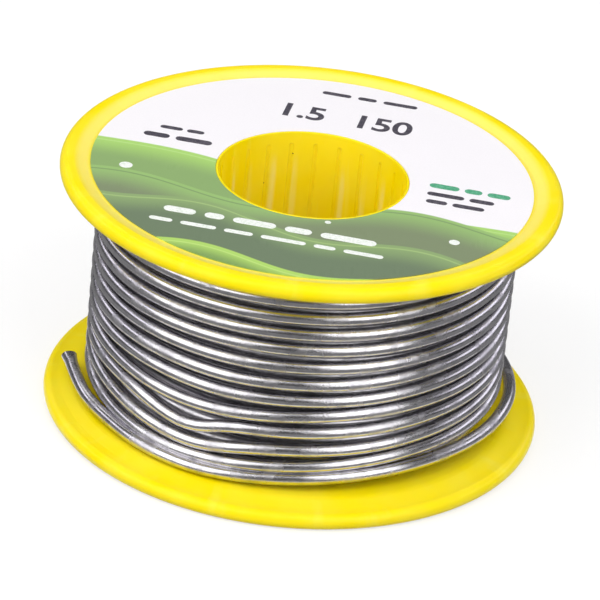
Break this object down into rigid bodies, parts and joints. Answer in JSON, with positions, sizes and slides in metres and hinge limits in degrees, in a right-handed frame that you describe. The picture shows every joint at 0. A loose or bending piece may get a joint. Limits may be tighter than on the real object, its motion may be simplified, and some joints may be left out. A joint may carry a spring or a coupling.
{
  "type": "solder wire spool",
  "caption": "Small yellow flanged plastic spool wound with bright flux-cored solder wire, with a round paper label in the upper flange and the slack wire end free.",
  "frame": {"origin": "on the spool's axis, at the plane of the lower rim on which it stands", "axes": "+Z along the bore, up from the standing surface; the pictured side faces -Y"},
  "size_m": [0.0564, 0.0564, 0.03],
  "materials": {
    "spool_plastic": "glossy moulded yellow polystyrene",
    "label_paper": "printed coated paper, white and green",
    "solder_wire": "bright drawn tin-lead solder",
    "rosin": "amber rosin"
  },
  "bodies": {
    "spool": {"spool_lower_half": "spool_plastic", "spool_upper_half": "spool_plastic", "face_label": "label_paper", "wire_inner_end": "solder_wire", "wire_inner_layers": "solder_wire", "wire_outer_layer": "solder_wire", "wire_loose_turn": "solder_wire"},
    "free_end": {"wire_free_end": "solder_wire", "flux_core_tip": "rosin"}
  },
  "joints": [
    {"name": "free_end_bend", "type": "hinge", "parent": "spool", "child": "free_end", "pos_m": [-0.01935, -0.01539, 0.00332], "axis": [0, 0, 1], "range_deg": [0, 75]}
  ]
}
